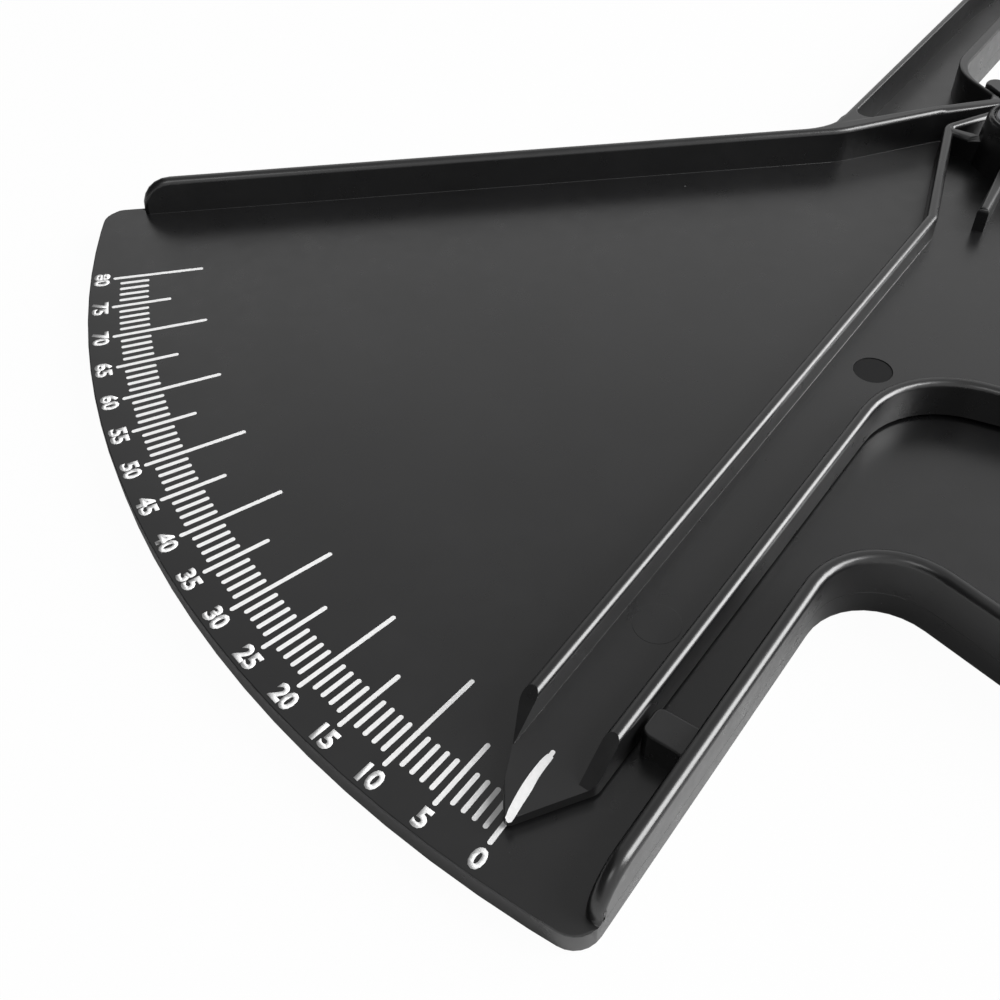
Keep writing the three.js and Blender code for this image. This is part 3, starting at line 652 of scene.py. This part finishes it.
class CALIPER_OT_scale_marks(PieceOperator, bpy.types.Operator):
    """The printed marks along the fan's rim, one for each millimetre that the jaws open"""

    bl_idname = "caliper.scale_marks"
    bl_label = "Scale marks"

    def execute(self, context):
        scale = context.scene.caliper_scale
        plate_top = context.scene.caliper_moulding.plate_top
        bm = bmesh.new()
        half = scale.mark_width / 2
        for reading in range(scale.last + 1):
            numbered = reading % 5 == 0
            outer = scale.outer_long if numbered else scale.outer_short
            inner = scale.inner_ten if reading % 10 == 0 else scale.inner_five if numbered else scale.inner_one
            made = bmesh.ops.create_circle(
                bm, cap_ends=True, radius=half, segments=12, matrix=Matrix.Rotation(math.radians(15), 4, "Z")
            )
            ends = made["verts"]
            bmesh.ops.translate(bm, verts=ends, vec=(inner + half, 0, 0))
            far = [vert for vert in ends if vert.co.x > inner + half]
            bmesh.ops.translate(bm, verts=far, vec=(outer - inner - scale.mark_width, 0, 0))
            faces = list({face for vert in ends for face in vert.link_faces})
            raised = bmesh.ops.extrude_face_region(bm, geom=faces)
            top = [item for item in raised["geom"] if isinstance(item, bmesh.types.BMVert)]
            bmesh.ops.translate(bm, verts=top, vec=(0, 0, scale.ink_rise * (1 + INK_SUNK)))
            every = ends + top
            bmesh.ops.translate(bm, verts=every, vec=(0, 0, plate_top - scale.ink_rise * INK_SUNK))
            turn = Matrix.Rotation(mark_heading(reading), 3, "Z")
            bmesh.ops.rotate(bm, verts=every, cent=(0, 0, 0), matrix=turn)
        bmesh.ops.recalc_face_normals(bm, faces=bm.faces)
        add_piece("scale_marks", bm, finish_of("white_ink", printed_ink), "frame")
        return {"FINISHED"}


class CALIPER_OT_scale_numbers(PieceOperator, bpy.types.Operator):
    """The plain numbers beside every fifth mark, with their tops towards the pivot"""

    bl_idname = "caliper.scale_numbers"
    bl_label = "Scale numbers"

    def execute(self, context):
        scale = context.scene.caliper_scale
        plate_top = context.scene.caliper_moulding.plate_top
        bm = bmesh.new()
        for reading in range(0, scale.last + 1, 5):
            written = bpy.data.curves.new("number", "FONT")
            written.body = str(reading)
            written.align_x = "CENTER"
            written.size = 1.0
            written.offset = NUMERAL_WEIGHT
            written.resolution_u = 3
            holder = bpy.data.objects.new("number", written)
            context.scene.collection.objects.link(holder)
            context.view_layer.update()
            flat = bpy.data.meshes.new_from_object(holder.evaluated_get(context.evaluated_depsgraph_get()))
            xs = [vert.co.x for vert in flat.vertices]
            ys = [vert.co.y for vert in flat.vertices]
            grow = scale.number_height / (max(ys) - min(ys))
            centre = Vector(((min(xs) + max(xs)) / 2, (min(ys) + max(ys)) / 2, 0.0))
            heading = mark_heading(reading)
            place = (
                Matrix.Translation(polar(scale.number_radius, heading, plate_top + scale.ink_rise))
                @ Matrix.Rotation(heading + math.pi / 2, 4, "Z")
                @ Matrix.Scale(grow, 4)
                @ Matrix.Translation(-centre)
            )
            flat.transform(place)
            bm.from_mesh(flat)
            bpy.data.objects.remove(holder)
            bpy.data.meshes.remove(flat)
        bmesh.ops.remove_doubles(bm, verts=bm.verts, dist=WELD)
        down = bmesh.ops.extrude_face_region(bm, geom=list(bm.faces))
        lowered = [item for item in down["geom"] if isinstance(item, bmesh.types.BMVert)]
        bmesh.ops.translate(bm, verts=lowered, vec=(0, 0, -scale.ink_rise * (1 + INK_SUNK)))
        bmesh.ops.recalc_face_normals(bm, faces=bm.faces)
        add_piece("scale_numbers", bm, finish_of("white_ink", printed_ink), "frame")
        return {"FINISHED"}


class CALIPER_OT_pointer_line(PieceOperator, bpy.types.Operator):
    """The white line that is painted by hand along the pointer's nose"""

    bl_idname = "caliper.pointer_line"
    bl_label = "Pointer line"

    def execute(self, context):
        size = context.scene.caliper_moulding
        ink = context.scene.caliper_scale.ink_rise
        bm = bmesh.new()
        last = len(BRUSH_STROKE) - 1
        bmesh.ops.create_grid(bm, x_segments=last, y_segments=1, size=0.5)
        for vert in bm.verts:
            along, left, width = BRUSH_STROKE[round((vert.co.x + 0.5) * last)]
            side = left + math.copysign(width / 2, vert.co.y)
            vert.co = seat(size.pointer_heading, along * MM, side * MM, size.lever_floor - INK_SUNK * ink)
        raised = bmesh.ops.extrude_face_region(bm, geom=list(bm.faces))
        top = [item for item in raised["geom"] if isinstance(item, bmesh.types.BMVert)]
        bmesh.ops.translate(bm, verts=top, vec=(0, 0, BRUSHED * ink))
        bmesh.ops.recalc_face_normals(bm, faces=bm.faces)
        piece = add_piece("pointer_line", bm, finish_of("white_ink", printed_ink), "lever")
        shade_smooth(piece)
        return {"FINISHED"}


class CALIPER_OT_mould_marks(PieceOperator, bpy.types.Operator):
    """The two round marks that the mould's pins leave in the lever's floor"""

    bl_idname = "caliper.mould_marks"
    bl_label = "Mould marks"

    def execute(self, context):
        size = context.scene.caliper_moulding
        marks = context.scene.caliper_marks
        kinds = (
            ("mould_mark_ring", marks.ring_radius, size.lever_floor + marks.ring_rise),
            ("mould_mark_disc", marks.disc_radius, size.lever_floor - marks.disc_sink),
        )
        for (name, radius, top), (along, left) in zip(kinds, PIN_MARKS):
            bm = bmesh.new()
            bmesh.ops.create_circle(bm, cap_ends=True, radius=radius, segments=48)
            raised = bmesh.ops.extrude_face_region(bm, geom=list(bm.faces))
            rim = [item for item in raised["geom"] if isinstance(item, bmesh.types.BMVert)]
            bmesh.ops.translate(bm, verts=rim, vec=(0, 0, marks.thickness))
            bmesh.ops.recalc_face_normals(bm, faces=bm.faces)
            round_off(bm, lambda edge: meets(edge) and lowest(edge) > TINY / 2, marks.thickness / 3, 2)
            where = seat(size.pointer_heading, along * MM, left * MM, top - marks.thickness)
            bmesh.ops.translate(bm, verts=bm.verts, vec=where)
            finish = finish_of("black_moulding", moulded_plastic)
            if name == "mould_mark_disc":
                finish = finish_of("matt_moulding", moulded_plastic, 0.32, 0.2)
            piece = add_piece(name, bm, finish, "lever")
            shade_smooth(piece)
        return {"FINISHED"}


class CALIPER_OT_pivot_screw(PieceOperator, bpy.types.Operator):
    """The screw in the boss, with its cross recess"""

    bl_idname = "caliper.pivot_screw"
    bl_label = "Pivot screw"

    def execute(self, context):
        look = context.scene.caliper_plastic
        size = context.scene.caliper_pivot
        bm = merged_copy("pivot_screw")
        round_off(bm, lambda edge: meets(edge) and out_from_pivot(edge) > size.screw_rim,
                  size.screw_rounding, 3)
        finish = finish_of("dark_plated_steel", metal, look.screw, 0.26, 0.85)
        piece = add_piece("pivot_screw_turned", bm, finish, "frame")
        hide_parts("pivot_screw")
        shade_smooth(piece)
        return {"FINISHED"}


class CALIPER_OT_pivot_washers(PieceOperator, bpy.types.Operator):
    """The steel washer under the screw's head and the nylon one that the hub runs on"""

    bl_idname = "caliper.pivot_washers"
    bl_label = "Pivot washers"

    def execute(self, context):
        look = context.scene.caliper_plastic
        rounding = context.scene.caliper_pivot.washer_rounding
        steel = finish_of("washer_steel", metal, look.steel, 0.28, 1.0)
        nylon = finish_of("white_nylon", washer_nylon)
        for node, name, finish, slot in (
            ("pivot_washer", "pivot_washer_pressed", steel, "washer_steel"),
            ("thrust_washer", "thrust_washer_cut", nylon, "washer_nylon"),
        ):
            bm = merged_copy(node)
            round_off(bm, meets, rounding, 2)
            piece = add_piece(name, bm, finish, "frame")
            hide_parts(node)
            shade_smooth(piece)
        return {"FINISHED"}


class CALIPER_OT_torsion_spring(PieceOperator, bpy.types.Operator):
    """The round wire wound about the post, with one end down in the plate and one out through the boss"""

    bl_idname = "caliper.torsion_spring"
    bl_label = "Torsion spring"

    def execute(self, context):
        size = context.scene.caliper_pivot
        plate_top = context.scene.caliper_moulding.plate_top
        start = plate_top + size.coil_start
        foot = size.leg_heading + math.tau * (size.turns % 1)
        lead_in = math.asin(size.wire_bend / size.coil_radius)
        onward = foot - lead_in - math.pi / 2
        seat_radius = size.coil_radius * math.cos(lead_in)
        lead_out = math.asin(size.wire_bend / (seat_radius + size.wire_bend))
        rise = size.turns * size.pitch
        bm = bmesh.new()
        lowest_end = Matrix.Translation(polar(size.coil_radius, foot, plate_top - size.tang))
        made = bmesh.ops.create_circle(
            bm, cap_ends=True, radius=size.wire / 2, segments=WIRE_SIDES, matrix=lowest_end
        )
        ring = list({edge for vert in made["verts"] for edge in vert.link_edges})
        ring = pulled(bm, ring, Vector((0, 0, size.tang + size.coil_start - size.wire_bend)))
        ahead = polar(1.0, onward)
        elbow = polar(size.coil_radius, foot, start - size.wire_bend) + ahead * size.wire_bend
        ring = swept(bm, ring, elbow, Vector((0, 0, 1)).cross(ahead), math.pi / 2, BEND_STEPS)
        turn = math.tau * size.turns - BEND_SHARE * lead_in - lead_out
        steps = round(turn / COIL_STEP)
        ring = swept(bm, ring, Vector((0, 0, 0)), Vector((0, 0, 1)), -turn, steps, Vector((0, 0, rise / steps)))
        spot = sum((edge.verts[0].co for edge in ring), Vector()) / len(ring)
        elbow = spot + spot.xy.normalized().to_3d() * size.wire_bend
        ring = swept(bm, ring, elbow, Vector((0, 0, 1)), math.pi / 2 - lead_out, BEND_STEPS)
        out = polar(1.0, size.leg_heading)
        spot = sum((edge.verts[0].co for edge in ring), Vector()) / len(ring)
        ring = pulled(bm, ring, out * (size.leg_end - spot.dot(out)))
        bmesh.ops.contextual_create(bm, geom=ring)
        bmesh.ops.recalc_face_normals(bm, faces=bm.faces)
        round_off(bm, lambda edge: meets(edge, at_least=CUT_ANGLE), size.wire / 8, 2)
        look = context.scene.caliper_plastic
        finish = finish_of("spring_steel", metal, look.steel, 0.24, 1.0)
        piece = add_piece("spring_wire", bm, finish, None)
        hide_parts("torsion_spring")
        shade_smooth(piece)
        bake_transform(piece)
        return {"FINISHED"}


def sweep_paper(look):
    """Pale paper that the camera sees as nearly white, and that keeps the caliper's shadow."""
    paper = bpy.data.materials.new("paper")
    paper.use_nodes = True
    tree = paper.node_tree
    tree.nodes.clear()
    output = tree.nodes.new("ShaderNodeOutputMaterial")
    diffuse = tree.nodes.new("ShaderNodeBsdfDiffuse")
    diffuse.inputs["Color"].default_value = (*look.paper, 1.0)
    glow = tree.nodes.new("ShaderNodeEmission")
    glow.inputs["Color"].default_value = (1.0, 1.0, 1.0, 1.0)
    glow.inputs["Strength"].default_value = 1.0
    seen, mirrored = kinds_of_ray(tree)
    full = reckoned(tree, "MULTIPLY", seen, look.glow_share)
    share = reckoned(tree, "MULTIPLY_ADD", mirrored, look.mirrored_share, full)
    mixed = tree.nodes.new("ShaderNodeMixShader")
    tree.links.new(share, mixed.inputs["Fac"])
    tree.links.new(diffuse.outputs["BSDF"], mixed.inputs[1])
    tree.links.new(glow.outputs["Emission"], mixed.inputs[2])
    tree.links.new(mixed.outputs["Shader"], output.inputs["Surface"])
    return paper


def pale_room(look):
    """A white room to the camera, with a dimmer ceiling and a dark left side where it is mirrored."""
    world = bpy.data.worlds.new("room")
    world.use_nodes = True
    tree = world.node_tree
    background = tree.nodes["Background"]
    split = tree.nodes.new("ShaderNodeSeparateXYZ")
    tree.links.new(tree.nodes.new("ShaderNodeTexCoord").outputs["Generated"], split.inputs["Vector"])
    walls = ranged(tree, split.outputs["Z"], CEILING_FROM, CEILING_TO, 1.0, look.ceiling)
    tree.links.new(walls, background.inputs["Color"])
    seen, mirrored = kinds_of_ray(tree)
    plain = ranged(tree, seen, 0.0, 1.0, look.room, 1.0)
    sides = look.dark_side - look.room, look.mirrored_room - look.room
    extra = ranged(tree, split.outputs["X"], DARK_TO, DARK_FROM, *sides)
    tree.links.new(reckoned(tree, "MULTIPLY_ADD", mirrored, extra, plain), background.inputs["Strength"])
    return world


class CALIPER_OT_stage(PieceOperator, bpy.types.Operator):
    """The pale floor, the soft lamps, the room and the camera"""

    bl_idname = "caliper.stage"
    bl_label = "Stage"

    def execute(self, context):
        scene = context.scene
        look = scene.caliper_stage
        bm = bmesh.new()
        bmesh.ops.create_grid(bm, x_segments=1, y_segments=1, size=look.floor_half)
        mesh = bpy.data.meshes.new("floor")
        bm.to_mesh(mesh)
        bm.free()
        floor = bpy.data.objects.new("floor", mesh)
        scene.collection.objects.link(floor)
        mesh.materials.append(sweep_paper(look))
        scene.world = pale_room(look)

        for name, power, place, width, height in (
            ("key", look.key_power, look.key_place, look.key_width, look.key_height),
            ("upper", look.upper_power, look.upper_place, look.upper_width, look.upper_height),
            ("front", look.front_power, look.front_place, look.front_size, look.front_size),
        ):
            lamp = bpy.data.lights.new(name, "AREA")
            lamp.shape = "RECTANGLE"
            lamp.size = width
            lamp.size_y = height
            lamp.energy = power
            holder = bpy.data.objects.new(name, lamp)
            scene.collection.objects.link(holder)
            holder.location = place
            holder.rotation_euler = (LAMPS_AIM - Vector(place)).to_track_quat("-Z", "Y").to_euler()

        eye = bpy.data.cameras.new("camera")
        eye.lens = look.lens
        eye.sensor_width = 36.0
        eye.clip_start = 5 * MM
        camera = bpy.data.objects.new("camera", eye)
        scene.collection.objects.link(camera)
        camera.location = look.place
        camera.rotation_euler = (look.tilt, look.roll, 0.0)
        scene.camera = camera
        scene.view_settings.view_transform = "Standard"
        return {"FINISHED"}


class CALIPER_PT_panel(bpy.types.Panel):
    """Lists the caliper's pieces in the sidebar"""

    bl_label = "Skinfold caliper"
    bl_idname = "CALIPER_PT_panel"
    bl_space_type = "VIEW_3D"
    bl_region_type = "UI"
    bl_category = "Caliper"

    def draw(self, context):
        column = self.layout.column()
        for kind in OPERATORS:
            column.operator(kind.bl_idname)
        for name in GROUPS:
            group = getattr(context.scene, name)
            for prop in group.bl_rna.properties:
                if not prop.is_readonly:
                    column.prop(group, prop.identifier)


OPERATORS = (
    CALIPER_OT_frame_moulding,
    CALIPER_OT_lever_moulding,
    CALIPER_OT_scale_marks,
    CALIPER_OT_scale_numbers,
    CALIPER_OT_pointer_line,
    CALIPER_OT_mould_marks,
    CALIPER_OT_torsion_spring,
    CALIPER_OT_pivot_washers,
    CALIPER_OT_pivot_screw,
    CALIPER_OT_stage,
)
GROUPS = {
    "caliper_moulding": MouldingSizes,
    "caliper_scale": ScaleSizes,
    "caliper_marks": MarkSizes,
    "caliper_pivot": PivotSizes,
    "caliper_plastic": PlasticLook,
    "caliper_stage": StageLook,
}


def register():
    for kind in (*GROUPS.values(), *OPERATORS, CALIPER_PT_panel):
        bpy.utils.register_class(kind)
    for name, group in GROUPS.items():
        setattr(bpy.types.Scene, name, PointerProperty(type=group))


def unregister():
    for name in GROUPS:
        delattr(bpy.types.Scene, name)
    for kind in (CALIPER_PT_panel, *reversed(OPERATORS), *reversed(tuple(GROUPS.values()))):
        bpy.utils.unregister_class(kind)


def main():
    register()
    bpy.ops.caliper.frame_moulding()
    bpy.ops.caliper.lever_moulding()
    bpy.ops.caliper.scale_marks()
    bpy.ops.caliper.scale_numbers()
    bpy.ops.caliper.pointer_line()
    bpy.ops.caliper.mould_marks()
    bpy.ops.caliper.torsion_spring()
    bpy.ops.caliper.pivot_washers()
    bpy.ops.caliper.pivot_screw()
    bpy.ops.caliper.stage()


if __name__ == "__main__":
    main()
